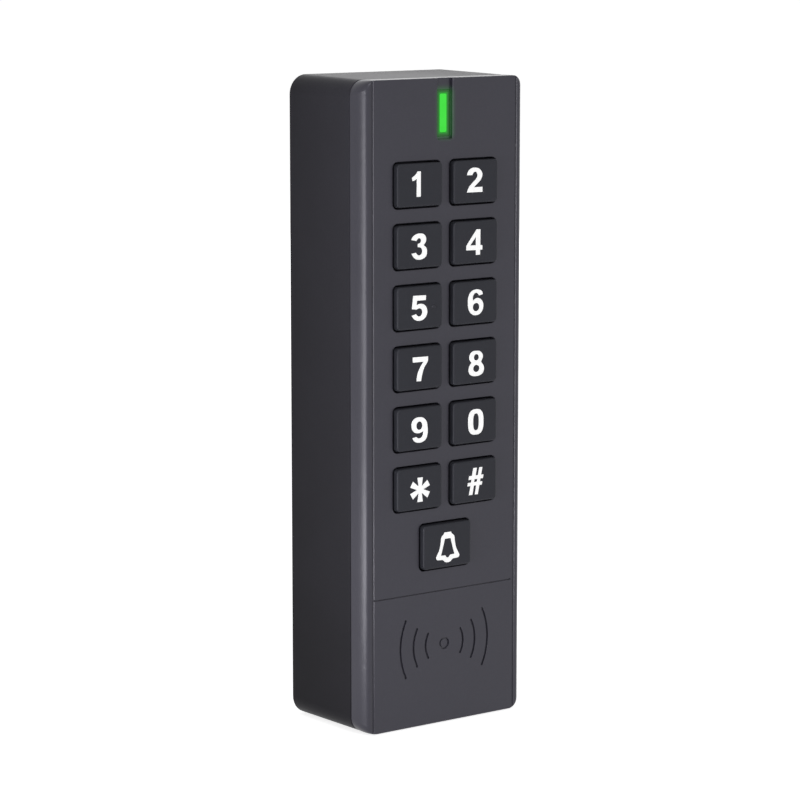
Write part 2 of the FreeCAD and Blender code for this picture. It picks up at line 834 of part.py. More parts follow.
def make_wire_header():
    z = last_row_z
    floor_y = board_rear_y + header_floor
    top_y = board_rear_y + header_height
    mouth_half = header_width / 2 - header_wall
    body = on_board(header_length / 2, header_width / 2, header_height, 0.0, z)
    body = body.cut(box(header_length / 2 - header_wall, floor_y, top_y, z - mouth_half, z + mouth_half))
    half = header_pin_half_width
    for step in range(-2, 3):
        pin = box(half, floor_y, top_y - header_pin_sink, z - half, z + half, step * header_pin_pitch)
        body = body.fuse(pin)
    return body


def make_ferrite_sheet():
    half_x = antenna_half_width + ferrite_margin
    half_z = antenna_half_height + ferrite_margin
    return slab(half_x, half_z, ferrite_corner_radius, board_front_y - ferrite_thickness, board_front_y,
                0.0, antenna_z)


def make_antenna_former():
    rear_y = board_front_y - ferrite_thickness
    former = slab(antenna_half_width, antenna_half_height, former_corner_radius, former_front_y, rear_y,
                  0.0, antenna_z)
    groove = ring(antenna_half_width, antenna_half_height, former_corner_radius, coil_depth,
                  former_front_y + former_flange, rear_y - former_flange, antenna_z)
    inset = coil_depth + former_wall
    window = slab(antenna_half_width - inset, antenna_half_height - inset, former_window_radius,
                  former_front_y, rear_y, 0.0, antenna_z)
    return former.cut(groove).cut(window)


def make_antenna_coil():
    rear_y = board_front_y - ferrite_thickness - former_flange
    half_x = antenna_half_width - coil_inset
    half_z = antenna_half_height - coil_inset
    return ring(half_x, half_z, former_corner_radius - coil_inset, coil_depth - coil_inset,
                former_front_y + former_flange, rear_y, antenna_z)


def make_cover_screws():
    seat_y = bulkhead_rear_y - screw_head_height - head_recess
    length = seat_y - wall_inner_y - pilot_spare
    return Part.makeCompound([screw_forward(x, seat_y, z, length) for x, z in corner_bosses()])


def make_board_screws():
    screws = [screw_forward(x, board_rear_y, z, board_screw_length) for x, z in middle_bosses()]
    return Part.makeCompound(screws)


def make_cable_grommet():
    flange_radius = grommet_radius + grommet_flange
    front_y = bulkhead_front_y - grommet_flange_thickness
    rear_y = bulkhead_rear_y + grommet_flange_thickness
    body = disc(grommet_radius, front_y, rear_y, 0.0, cable_z)
    body = body.fuse(disc(flange_radius, front_y, bulkhead_front_y, 0.0, cable_z))
    body = body.fuse(disc(flange_radius, bulkhead_rear_y, rear_y, 0.0, cable_z))
    return body.cut(disc(cable_bore_radius, front_y, rear_y, 0.0, cable_z))


def save(name, shape):
    if not shape.isValid() or shape.Volume <= 0:
        raise ValueError(name + " is not a sound solid")
    shape.exportStep(os.path.join("parts", name + ".step"))
    print(name, len(shape.Solids), round(shape.Volume, 2))


os.makedirs("parts", exist_ok=True)
save("front_cover", make_front_cover())
save("rear_housing", make_rear_housing())
save("housing_seal", make_seal())
save("wall_plate", make_wall_plate())
save("security_screw", make_security_screw())
save("cover_screws", make_cover_screws())
save("board_screws", make_board_screws())
save("cable_grommet", make_cable_grommet())
save("indicator_window", make_indicator_window())
save("light_pipe", make_light_pipe())
save("indicator_leds", make_indicator_leds())
save("keypad_mat", make_keypad_mat())
save("contact_pills", make_contact_pills())
save("contact_pads", make_contact_pads())
save("key_backlights", make_key_backlights())
save("main_board", make_main_board())
save("microcontroller", make_microcontroller())
save("reader_chip", make_reader_chip())
save("crystal", make_crystal())
save("voltage_regulator", make_voltage_regulator())
save("power_inductor", make_power_inductor())
save("electrolytic_capacitor", make_electrolytic_capacitor())
save("buzzer", make_buzzer())
save("tamper_sensor", make_tamper_sensor())
save("wire_header", make_wire_header())
save("ferrite_sheet", make_ferrite_sheet())
save("antenna_former", make_antenna_former())
save("antenna_coil", make_antenna_coil())
for label, x, z, width, height in key_places():
    save("key_cap_" + label, make_key(x, z, width, height, label == "5"))
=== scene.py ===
import bpy
import math
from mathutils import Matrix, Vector


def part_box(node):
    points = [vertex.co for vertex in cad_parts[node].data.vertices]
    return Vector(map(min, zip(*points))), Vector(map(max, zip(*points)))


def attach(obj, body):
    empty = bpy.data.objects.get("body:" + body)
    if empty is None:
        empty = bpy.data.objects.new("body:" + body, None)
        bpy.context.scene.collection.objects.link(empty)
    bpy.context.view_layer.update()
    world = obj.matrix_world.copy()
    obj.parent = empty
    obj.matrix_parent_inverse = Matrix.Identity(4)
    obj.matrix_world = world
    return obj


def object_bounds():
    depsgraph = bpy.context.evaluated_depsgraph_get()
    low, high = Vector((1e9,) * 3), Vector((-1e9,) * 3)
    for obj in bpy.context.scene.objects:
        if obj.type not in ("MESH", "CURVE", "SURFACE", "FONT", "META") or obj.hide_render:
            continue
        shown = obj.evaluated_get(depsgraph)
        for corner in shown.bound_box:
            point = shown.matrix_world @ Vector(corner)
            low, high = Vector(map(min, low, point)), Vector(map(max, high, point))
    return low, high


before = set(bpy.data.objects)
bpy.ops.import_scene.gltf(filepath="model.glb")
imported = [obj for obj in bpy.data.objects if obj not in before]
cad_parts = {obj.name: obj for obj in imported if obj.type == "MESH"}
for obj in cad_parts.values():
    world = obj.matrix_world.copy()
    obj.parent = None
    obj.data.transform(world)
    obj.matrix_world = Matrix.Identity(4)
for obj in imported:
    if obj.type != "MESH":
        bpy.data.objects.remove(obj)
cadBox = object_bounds()
mm = 0.001
unlit = (0, 0, 0, 1)
white = (1, 1, 1, 1)
print("frame loaded:", len(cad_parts), "nodes")


def shade(red, green, blue):
    # a colour as it is read on a screen, 0 to 255, turned into a linear one
    channels = []
    for value in (red, green, blue):
        part = value / 255
        channels.append(part / 12.92 if part <= 0.04045 else ((part + 0.055) / 1.055) ** 2.4)
    return (*channels, 1.0)


def feed(tree, value, socket):
    # links another node's output into a socket, or sets a plain value there
    if isinstance(value, bpy.types.NodeSocket):
        tree.links.new(value, socket)
    else:
        socket.default_value = value


def put(tree, kind, options=None, **values):
    # adds a node, sets its options and then feeds its sockets by name
    node = tree.nodes.new(kind)
    for name, value in (options or {}).items():
        setattr(node, name, value)
    for name, value in values.items():
        feed(tree, value, node.inputs[name.replace("_", " ")])
    return node


def maths(tree, operation, *values, clamp=False):
    node = put(tree, "ShaderNodeMath", {"operation": operation, "use_clamp": clamp})
    for index, value in enumerate(values):
        feed(tree, value, node.inputs[index])
    return node.outputs[0]


def perMetre(tree, size):
    return maths(tree, "DIVIDE", 1.0, size)


def mixColour(tree, mask, low, high):
    # low where mask is 0, high where it is 1; both may be colours or sockets
    node = put(tree, "ShaderNodeMix", {"data_type": "RGBA"})
    for index, value in ((0, mask), (6, low), (7, high)):
        feed(tree, value, node.inputs[index])
    return node.outputs[2]


def ranged(tree, value, low, high, toLow=0.0, toHigh=1.0):
    # goes from toLow to toHigh as value goes from low to high, and no further
    node = put(tree, "ShaderNodeMapRange", {"clamp": True}, Value=value, From_Min=low, From_Max=high,
               To_Min=toLow, To_Max=toHigh)
    return node.outputs["Result"]


def noiseAt(tree, vector, scale, detail=2.0, roughness=0.5):
    node = put(tree, "ShaderNodeTexNoise", Vector=vector, Scale=scale, Detail=detail, Roughness=roughness)
    return node.outputs[0]


def placeIn(tree):
    return tree.nodes.new("ShaderNodeTexCoord").outputs["Object"]


def axesOf(tree, vector):
    return put(tree, "ShaderNodeSeparateXYZ", Vector=vector).outputs


def surfaceNormal(tree):
    return tree.nodes.new("ShaderNodeNewGeometry").outputs["Normal"]


def newGroup(name, inputs, outputs):
    # a shader node group with float inputs (name: default) and named outputs
    tree = bpy.data.node_groups.new(name, "ShaderNodeTree")
    for label, default in inputs.items():
        socket = tree.interface.new_socket(name=label, in_out="INPUT", socket_type="NodeSocketFloat")
        socket.default_value = default
    for label in outputs:
        tree.interface.new_socket(name=label, in_out="OUTPUT", socket_type="NodeSocketFloat")
    return tree, tree.nodes.new("NodeGroupInput").outputs, tree.nodes.new("NodeGroupOutput").inputs


grainShape = {
    "inputs": {"Grain Size": 0.25 * mm, "Tone Size": 18 * mm, "Fleck Size": 0.6 * mm},
    "pitShare": 0.7,
    "toneSpread": (0.3, 0.7),
    "fleckSpread": (0.74, 0.8),
}


def makeMouldGrain(shape):
    # the fine spark texture of a moulded surface, with slow changes of tone and a few pale flecks
    tree, start, end = newGroup("mouldGrain", shape["inputs"], ("Height", "Tone", "Fleck"))
    place = placeIn(tree)
    grainScale = perMetre(tree, start["Grain Size"])
    grain = noiseAt(tree, place, grainScale, detail=3.0, roughness=0.6)
    pits = put(tree, "ShaderNodeTexVoronoi", Vector=place,
               Scale=maths(tree, "MULTIPLY", grainScale, shape["pitShare"]))
    feed(tree, maths(tree, "ADD", grain, pits.outputs["Distance"]), end["Height"])
    tone = noiseAt(tree, place, perMetre(tree, start["Tone Size"]), detail=4.0)
    feed(tree, ranged(tree, tone, *shape["toneSpread"]), end["Tone"])
    fleck = noiseAt(tree, place, perMetre(tree, start["Fleck Size"]), detail=1.0)
    feed(tree, ranged(tree, fleck, *shape["fleckSpread"]), end["Fleck"])
    return tree


wearShape = {
    "inputs": {"Radius": 0.3 * mm, "Patch Size": 3 * mm, "Reach": 0.3},
    "patchSpread": (0.38, 0.62),
}


def makeEdgeWear(shape):
    # a mask of the corners that hands and cards rub, broken up by noise
    tree, start, end = newGroup("edgeWear", shape["inputs"], ("Mask",))
    rounded = put(tree, "ShaderNodeBevel", {"samples": 6}, Radius=start["Radius"])
    facing = put(tree, "ShaderNodeVectorMath", {"operation": "DOT_PRODUCT"})
    feed(tree, rounded.outputs["Normal"], facing.inputs[0])
    feed(tree, surfaceNormal(tree), facing.inputs[1])
    edge = maths(tree, "SUBTRACT", 1.0, facing.outputs["Value"], clamp=True)
    spread = maths(tree, "DIVIDE", edge, start["Reach"], clamp=True)
    patches = noiseAt(tree, placeIn(tree), perMetre(tree, start["Patch Size"]), detail=5.0, roughness=0.65)
    feed(tree, maths(tree, "MULTIPLY", spread, ranged(tree, patches, *shape["patchSpread"])), end["Mask"])
    return tree


dustShape = {
    "inputs": {"Amount": 0.2, "Speck Size": 0.5 * mm},
    "facing": (-0.2, 1.0),
    "underside": 0.15,
    "speckSpread": (0.45, 0.75),
}


def makeDustFilm(shape):
    # loose dust, thickest where the surface faces up
    tree, start, end = newGroup("dustFilm", shape["inputs"], ("Mask",))
    lying = ranged(tree, axesOf(tree, surfaceNormal(tree))["Z"], *shape["facing"], shape["underside"])
    specks = noiseAt(tree, placeIn(tree), perMetre(tree, start["Speck Size"]), detail=6.0, roughness=0.7)
    film = maths(tree, "MULTIPLY", lying, ranged(tree, specks, *shape["speckSpread"]))
    feed(tree, maths(tree, "MULTIPLY", film, start["Amount"]), end["Mask"])
    return tree


paintedShadeShape = {
    "inputs": {"Amount": 0.5, "Wall Share": 0.55, "Foot Share": 0.7},
    "patchesPerMetre": 60.0,
    "patchSpread": (0.3, 0.7),
    "thinnest": 0.9,
}


def makePaintedShade(shape):
    # painted shade that darkens the body towards the wall and towards its foot
    tree, start, end = newGroup("paintedWallShade", shape["inputs"], ("Mask",))
    place = placeIn(tree)
    axes = axesOf(tree, place)
    low, high = cadBox
    unshaded = 1.0
    for axis, far, near, share in (("Y", low.y, high.y, "Wall Share"), ("Z", high.z, low.z, "Foot Share")):
        dark = maths(tree, "MULTIPLY", ranged(tree, axes[axis], far, near), start[share])
        unshaded = maths(tree, "MULTIPLY", unshaded, maths(tree, "SUBTRACT", 1.0, dark))
    noise = noiseAt(tree, place, shape["patchesPerMetre"], detail=3.0)
    patches = ranged(tree, noise, *shape["patchSpread"], shape["thinnest"])
    shadedPatches = maths(tree, "MULTIPLY", maths(tree, "SUBTRACT", 1.0, unshaded), patches)
    feed(tree, maths(tree, "MULTIPLY", shadedPatches, start["Amount"], clamp=True), end["Mask"])
    return tree


brushingShape = {
    "inputs": {"Line Width": 0.08 * mm, "Stretch": 40.0},
    "scratchSpread": (0.64, 0.72),
}


def makeBrushing(shape):
    # drawn or brushed metal: long fine lines along Z with a few deeper scratches
    tree, start, end = newGroup("brushing", shape["inputs"], ("Height", "Scratch"))
    squeeze = put(tree, "ShaderNodeCombineXYZ", X=1.0, Y=1.0, Z=perMetre(tree, start["Stretch"]))
    drawn = put(tree, "ShaderNodeVectorMath", {"operation": "MULTIPLY"})
    feed(tree, placeIn(tree), drawn.inputs[0])
    feed(tree, squeeze.outputs[0], drawn.inputs[1])
    lineScale = perMetre(tree, start["Line Width"])
    lines = noiseAt(tree, drawn.outputs[0], lineScale, detail=4.0, roughness=0.7)
    feed(tree, lines, end["Height"])
    feed(tree, ranged(tree, lines, *shape["scratchSpread"]), end["Scratch"])
    return tree


barGlowShape = {
    "inputs": {"Near Reach": 0.5 * mm, "Near Power": 0.14, "Wide Reach": 2.4 * mm, "Wide Power": 0.18},
    "collar": 0.6 * mm,
}


def makeBarGlow(shape):
    # a mask of painted light round the lit end of the light bar, inside its collar: a narrow rim and a wide
    # halo
    tree, start, end = newGroup("barGlow", shape["inputs"], ("Mask",))
    axes = axesOf(tree, placeIn(tree))
    low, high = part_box("light_pipe")
    centre = (low + high) / 2
    half = (high - low) / 2
    squares = []
    for axis, index in (("X", 0), ("Z", 2)):
        offset = maths(tree, "ABSOLUTE", maths(tree, "SUBTRACT", axes[axis], centre[index]))
        outside = maths(tree, "SUBTRACT", offset, half[index] - shape["collar"])
        squares.append(maths(tree, "POWER", maths(tree, "MAXIMUM", outside, 0.0), 2.0))
    away = maths(tree, "SQRT", maths(tree, "ADD", *squares))
    near = ranged(tree, away, 0.0, start["Near Reach"], 1.0, 0.0)
    wide = maths(tree, "POWER", ranged(tree, away, 0.0, start["Wide Reach"], 1.0, 0.0), 2.0)
    paintedGlow = maths(tree, "ADD", maths(tree, "MULTIPLY", near, start["Near Power"]),
                 maths(tree, "MULTIPLY", wide, start["Wide Power"]))
    feed(tree, paintedGlow, end["Mask"])
    return tree


groups = {
    "grain": makeMouldGrain(grainShape),
    "wear": makeEdgeWear(wearShape),
    "dust": makeDustFilm(dustShape),
    "paintedShade": makePaintedShade(paintedShadeShape),
    "brushing": makeBrushing(brushingShape),
    "barGlow": makeBarGlow(barGlowShape),
}
print("node groups made:", ", ".join(groups))


def useGroup(tree, name, **values):
    node = tree.nodes.new("ShaderNodeGroup")
    node.node_tree = groups[name]
    for label, value in values.items():
        node.inputs[label.replace("_", " ")].default_value = value
    return node.outputs


def newMaterial(name, **sockets):
    # a Principled material with its constant sockets set
    material = bpy.data.materials.new(name)
    material.use_nodes = True
    tree = material.node_tree
    shader = tree.nodes["Principled BSDF"]
    for label, value in sockets.items():
        shader.inputs[label.replace("_", " ")].default_value = value
    return material, tree, shader


def toned(tree, grain, look):
    # a colour and a roughness that both drift with the grain's slow tone
    colour = mixColour(tree, grain["Tone"], look["colour"], look["colourPale"])
    return colour, ranged(tree, grain["Tone"], 0.0, 1.0, look["roughLow"], look["roughHigh"])


def finish(tree, shader, colour, rough, height, look):
    # feeds the shader; a Bump node goes into Normal, over edges that a Bevel node rounds where asked
    feed(tree, colour, shader.inputs["Base Color"])
    feed(tree, rough, shader.inputs["Roughness"])
    bump = put(tree, "ShaderNodeBump", Height=height, Strength=look["bump"], Distance=look["bumpDepth"])
    if "rounding" in look:
        soft = put(tree, "ShaderNodeBevel", {"samples": 4}, Radius=look["rounding"])
        feed(tree, soft.outputs["Normal"], bump.inputs["Normal"])
    feed(tree, bump.outputs["Normal"], shader.inputs["Normal"])


def mouldedPlastic(name, look):
    # satin moulded plastic: grain, tone, rubbed edges, dust and painted shade towards the wall and foot
    material, tree, shader = newMaterial(name, Specular_IOR_Level=look["gloss"],
                                         Specular_Tint=look["sheen"])
    grain = useGroup(tree, "grain", Grain_Size=look["grainSize"], Tone_Size=look["toneSize"])
    wear = useGroup(tree, "wear", Radius=look["wearRadius"])["Mask"]
    dust = useGroup(tree, "dust", Amount=look["dust"])["Mask"]
    # painted shade: the body gets darker towards the wall and towards its foot
    paintedShade = useGroup(tree, "paintedShade", Amount=look["paintedShade"])["Mask"]
    colour, rough = toned(tree, grain, look)
    for mask, over in (
        (maths(tree, "MULTIPLY", grain["Fleck"], look["fleck"]), look["wornColour"]),
        (maths(tree, "MULTIPLY", wear, look["wear"]), look["wornColour"]),
        (dust, look["dustColour"]),
        (paintedShade, look["paintedShadeColour"]),
    ):
        colour = mixColour(tree, mask, colour, over)
    rough = maths(tree, "SUBTRACT", rough, maths(tree, "MULTIPLY", wear, look["polish"]), clamp=True)
    rough = maths(tree, "ADD", rough, maths(tree, "MULTIPLY", dust, look["dustRough"]), clamp=True)
    finish(tree, shader, colour, rough, grain["Height"], look)
    return material


housingLook = {
    "colour": shade(53, 52, 59),
    "colourPale": shade(56, 55, 62),
    "wornColour": shade(80, 79, 86),
    "dustColour": shade(150, 148, 145),
    # the colour of the painted shade towards the wall and the foot
    "paintedShadeColour": shade(12, 11, 13),
    "gloss": 0.05,
    "sheen": (0.94, 0.93, 1.0, 1.0),
    "grainSize": 0.22 * mm,
    "toneSize": 26 * mm,
    "wearRadius": 0.35 * mm,
    "wear": 0.35,
    "fleck": 0.10,
    "polish": 0.08,
    "dust": 0.05,
    "dustRough": 0.4,
    # how strongly the painted shade darkens the housing towards the wall and the foot
    "paintedShade": 1.0,
    "roughLow": 0.36,
    "roughHigh": 0.41,
    "bump": 0.22,
    "bumpDepth": 0.03 * mm,
    "rounding": 0.12 * mm,
}
coverLook = dict(housingLook, colour=shade(41, 40, 50), colourPale=shade(45, 44, 54), gloss=0.5,
                 paintedShade=0.0, roughLow=0.30, roughHigh=0.34, rounding=0.06 * mm)
keyLook = dict(housingLook, colour=shade(43, 44, 50), colourPale=shade(46, 47, 53),
               wornColour=shade(76, 77, 82), gloss=0.2, grainSize=0.35 * mm, toneSize=6 * mm,
               wear=0.25, fleck=0.04, dust=0.03, paintedShade=0.0, roughLow=0.40, roughHigh=0.48,
               bump=0.10, rounding=0.08 * mm)
nylonLook = dict(housingLook, colour=shade(214, 208, 190), colourPale=shade(224, 219, 203),
                 wornColour=shade(238, 235, 226), grainSize=0.3 * mm, toneSize=5 * mm, wear=0.3,
                 paintedShade=0.0)
chipLook = dict(housingLook, colour=shade(30, 30, 32), colourPale=shade(38, 38, 40),
                wornColour=shade(92, 92, 96), grainSize=0.12 * mm, toneSize=3 * mm, paintedShade=0.0,
                roughLow=0.5, roughHigh=0.62)
ferriteLook = dict(chipLook, colour=shade(52, 52, 55), colourPale=shade(64, 64, 68))
formerLook = dict(chipLook, colour=shade(58, 58, 62), colourPale=shade(68, 68, 72), grainSize=0.25 * mm)


def rubberMaterial(name, look):
    # soft rubber or silicone: matt, with a fine skin and a little dust
    material, tree, shader = newMaterial(name, Specular_IOR_Level=look["gloss"],
                                         Subsurface_Weight=look["milkiness"],
                                         Subsurface_Scale=look["milkDepth"])
    grain = useGroup(tree, "grain", Grain_Size=look["grainSize"], Tone_Size=look["toneSize"])
    dust = useGroup(tree, "dust", Amount=look["dust"])["Mask"]
    colour, rough = toned(tree, grain, look)
    colour = mixColour(tree, dust, colour, look["dustColour"])
    finish(tree, shader, colour, rough, grain["Height"], look)
    return material


sealLook = {
    "colour": shade(24, 24, 25),
    "colourPale": shade(32, 32, 33),
    "dustColour": shade(120, 118, 114),
    "gloss": 0.3,
    "milkiness": 0.0,
    "milkDepth": 0.6 * mm,
    "grainSize": 0.2 * mm,
    "toneSize": 8 * mm,
    "dust": 0.12,
    "roughLow": 0.62,
    "roughHigh": 0.75,
    "bump": 0.25,
    "bumpDepth": 0.03 * mm,
    "rounding": 0.2 * mm,
}
siliconeLook = dict(sealLook, colour=shade(206, 207, 204), colourPale=shade(220, 221, 218),
                    dustColour=shade(200, 198, 190), milkiness=0.25, roughLow=0.5, roughHigh=0.6,
                    gloss=0.45)
carbonLook = dict(sealLook, colour=shade(18, 18, 19), colourPale=shade(28, 28, 30), toneSize=1.5 * mm)


def metalMaterial(name, look):
    # plated or drawn metal: brushed lines, scratches and dulled edges
    material, tree, shader = newMaterial(name, Metallic=look["metallic"])
    lines = useGroup(tree, "brushing", Line_Width=look["lineWidth"], Stretch=look["stretch"])
    wear = useGroup(tree, "wear", Radius=look["wearRadius"])["Mask"]
    grain = useGroup(tree, "grain", Tone_Size=look["toneSize"])
    colour, rough = toned(tree, grain, look)
    colour = mixColour(tree, maths(tree, "MULTIPLY", wear, look["wear"]), colour, look["wornColour"])
    scratches = maths(tree, "MULTIPLY", lines["Scratch"], look["scratchRough"])
    finish(tree, shader, colour, maths(tree, "ADD", rough, scratches, clamp=True), lines["Height"], look)
    return material


plateLook = {
    "colour": shade(178, 181, 184),
    "colourPale": shade(196, 199, 202),
    "wornColour": shade(222, 223, 224),
    "metallic": 1.0,
    "lineWidth": 0.1 * mm,
    "stretch": 30.0,
    "scratchRough": 0.15,
    "wearRadius": 0.3 * mm,
    "wear": 0.5,
    "toneSize": 9 * mm,
    "roughLow": 0.34,
    "roughHigh": 0.5,
    "bump": 0.2,
    "bumpDepth": 0.02 * mm,
    "rounding": 0.12 * mm,
}
screwLook = dict(plateLook, colour=shade(150, 151, 154), colourPale=shade(176, 177, 180),
                 toneSize=1.5 * mm, stretch=3.0, roughLow=0.28, roughHigh=0.4)
canLook = dict(plateLook, colour=shade(190, 191, 194), colourPale=shade(206, 207, 210), toneSize=3 * mm)
goldLook = dict(plateLook, colour=shade(222, 178, 96), colourPale=shade(236, 196, 118),
                wornColour=shade(246, 214, 150), toneSize=1 * mm, roughLow=0.22, roughHigh=0.32)


def copperWinding(look):
    # enamelled wire, wound round and round: fine ridges across Y, shinier on their crests
    material, tree, shader = newMaterial("copperWinding", Metallic=1.0, Coat_Weight=look["enamel"],
                                         Coat_Roughness=look["enamelRough"])
    turns = put(tree, "ShaderNodeTexWave", {"bands_direction": "Y", "wave_profile": "SIN"},
                Vector=placeIn(tree), Scale=look["turnsPerMetre"],
                Distortion=look["unevenness"]).outputs["Fac"]
    grain = useGroup(tree, "grain", Tone_Size=look["toneSize"])
    colour = mixColour(tree, grain["Tone"], look["colour"], look["colourPale"])
    rough = ranged(tree, turns, 0.0, 1.0, look["roughHigh"], look["roughLow"])
    finish(tree, shader, colour, rough, turns, look)
    return material


windingLook = {
    "colour": shade(168, 86, 44),
    "colourPale": shade(190, 104, 58),
    "toneSize": 4 * mm,
    "enamel": 0.5,
    "enamelRough": 0.2,
    "turnsPerMetre": 1500.0,
    "unevenness": 0.4,
    "roughLow": 0.25,
    "roughHigh": 0.45,
    "bump": 0.8,
    "bumpDepth": 0.06 * mm,
}


def boardMaterial(look):
    # green solder mask, paler where it lies over copper tracks
    material, tree, shader = newMaterial("boardMask", Coat_Weight=look["coat"],
                                         Coat_Roughness=look["coatRough"])
    flat = put(tree, "ShaderNodeMapping", Vector=placeIn(tree), Rotation=(math.radians(90), 0, 0))
    tracks = put(tree, "ShaderNodeTexBrick", {"offset": look["trackOffset"]}, Vector=flat.outputs["Vector"],
                 Scale=look["trackScale"], Mortar_Size=look["trackWidth"], Mortar_Smooth=look["trackBlur"],
                 Brick_Width=look["trackLength"], Row_Height=look["trackPitch"]).outputs["Fac"]
    grain = useGroup(tree, "grain", Grain_Size=look["grainSize"], Tone_Size=look["toneSize"])
    colour, rough = toned(tree, grain, look)
    finish(tree, shader, mixColour(tree, tracks, colour, look["trackColour"]), rough, tracks, look)
    return material


boardLook = {
    "colour": shade(24, 84, 48),
    "colourPale": shade(30, 96, 56),
    "trackColour": shade(48, 122, 74),
    "trackScale": 260.0,
    "trackOffset": 0.37,
    "trackWidth": 0.035,
    "trackBlur": 0.1,
    "trackLength": 0.9,
    "trackPitch": 0.22,
    "coat": 0.4,
    "coatRough": 0.25,
    "grainSize": 0.4 * mm,
    "toneSize": 7 * mm,
    "roughLow": 0.32,
    "roughHigh": 0.44,
    "bump": 0.4,
    "bumpDepth": 0.03 * mm,
    "rounding": 0.1 * mm,
}


def inkMaterial(look):
    # thick white key print with a faint unevenness and a painted glow in its own colour
    material, tree, shader = newMaterial("legendWhite", Specular_IOR_Level=look["gloss"],
                                         Emission_Strength=look["paintedGlow"])
    grain = useGroup(tree, "grain", Grain_Size=look["grainSize"], Tone_Size=look["toneSize"])
    colour, rough = toned(tree, grain, look)
    feed(tree, colour, shader.inputs["Emission Color"])
    finish(tree, shader, colour, rough, grain["Height"], look)
    return material


inkLook = {
    "colour": shade(246, 246, 246),
    "colourPale": shade(252, 252, 252),
    # a painted glow that keeps the print bright, though it is no lamp
    "paintedGlow": 0.35,
    "gloss": 0.3,
    "grainSize": 0.15 * mm,
    "toneSize": 2 * mm,
    "roughLow": 0.45,
    "roughHigh": 0.55,
    "bump": 0.08,
    "bumpDepth": 0.02 * mm,
}


def litBarMaterial(look):
    # clear light guide whose front end glows green
    material, tree, shader = newMaterial("litBar", Emission_Strength=look["strength"],
                                         Specular_IOR_Level=look["gloss"])
    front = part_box("light_pipe")[0].y
    end = ranged(tree, axesOf(tree, placeIn(tree))["Y"], front, front + look["endDepth"], 1.0, look["rest"])
    grain = useGroup(tree, "grain", Grain_Size=look["grainSize"], Tone_Size=look["toneSize"])
    lit, rough = toned(tree, grain, look)
    feed(tree, mixColour(tree, end, unlit, lit), shader.inputs["Emission Color"])
    colour = mixColour(tree, end, look["guideColour"], look["endColour"])
    finish(tree, shader, colour, rough, grain["Height"], look)
    return material


litBarLook = {
    "colour": shade(66, 226, 66),
    "colourPale": shade(72, 232, 72),
    "guideColour": shade(210, 226, 212),
    "endColour": shade(4, 20, 4),
    "strength": 0.95,
    "rest": 0.05,
    "endDepth": 0.4 * mm,
    "gloss": 0.1,
    "grainSize": 0.5 * mm,
    "toneSize": 3 * mm,
    "roughLow": 0.2,
    "roughHigh": 0.3,
    "bump": 0.05,
    "bumpDepth": 0.02 * mm,
}
# the colour of the painted green light round the bar
paintedBarLight = shade(30, 255, 40)


def addBarGlow(material):
    # painted light: green emission on this material stands in for the light that the bar sheds on what
    # stands around it
    tree = material.node_tree
    shader = tree.nodes["Principled BSDF"]
    paintedGlow = useGroup(tree, "barGlow")["Mask"]
    feed(tree, mixColour(tree, paintedGlow, unlit, paintedBarLight), shader.inputs["Emission Color"])
    shader.inputs["Emission Strength"].default_value = 1.0


def smoothPlastic(name, look):
    # smooth clear or tinted plastic over what lies below it
    material, tree, shader = newMaterial(name, Specular_IOR_Level=look["gloss"], Coat_Weight=look["coat"],
                                         Coat_Roughness=look["coatRough"])
    grain = useGroup(tree, "grain", Grain_Size=look["grainSize"], Tone_Size=look["toneSize"])
    finish(tree, shader, *toned(tree, grain, look), grain["Height"], look)
    return material


windowLook = {
    "colour": shade(26, 30, 30),
    "colourPale": shade(30, 35, 35),
    "gloss": 0.35,
    "coat": 0.0,
    "coatRough": 0.03,
    "grainSize": 0.4 * mm,
    "toneSize": 5 * mm,
    "roughLow": 0.22,
    "roughHigh": 0.3,
    "bump": 0.04,
    "bumpDepth": 0.02 * mm,
    "rounding": 0.1 * mm,
}
lampResinLook = dict(windowLook, colour=shade(236, 226, 170), colourPale=shade(244, 240, 214), gloss=0.5,
                     coat=0.6, coatRough=0.1, grainSize=0.1 * mm, toneSize=0.6 * mm, roughLow=0.2,
                     roughHigh=0.35, bump=0.1, rounding=0.08 * mm)


chipPlastic = mouldedPlastic("chipPlastic", chipLook)
sealRubber = rubberMaterial("sealRubber", sealLook)
screwSteel = metalMaterial("screwSteel", screwLook)
canMetal = metalMaterial("canMetal", canLook)
lampResin = smoothPlastic("lampResin", lampResinLook)
ferriteBlock = mouldedPlastic("ferriteBlock", ferriteLook)
coverPlastic = mouldedPlastic("coverPlastic", coverLook)
smokedWindow = smoothPlastic("smokedWindow", windowLook)
keyPlastic = mouldedPlastic("keyPlastic", keyLook)
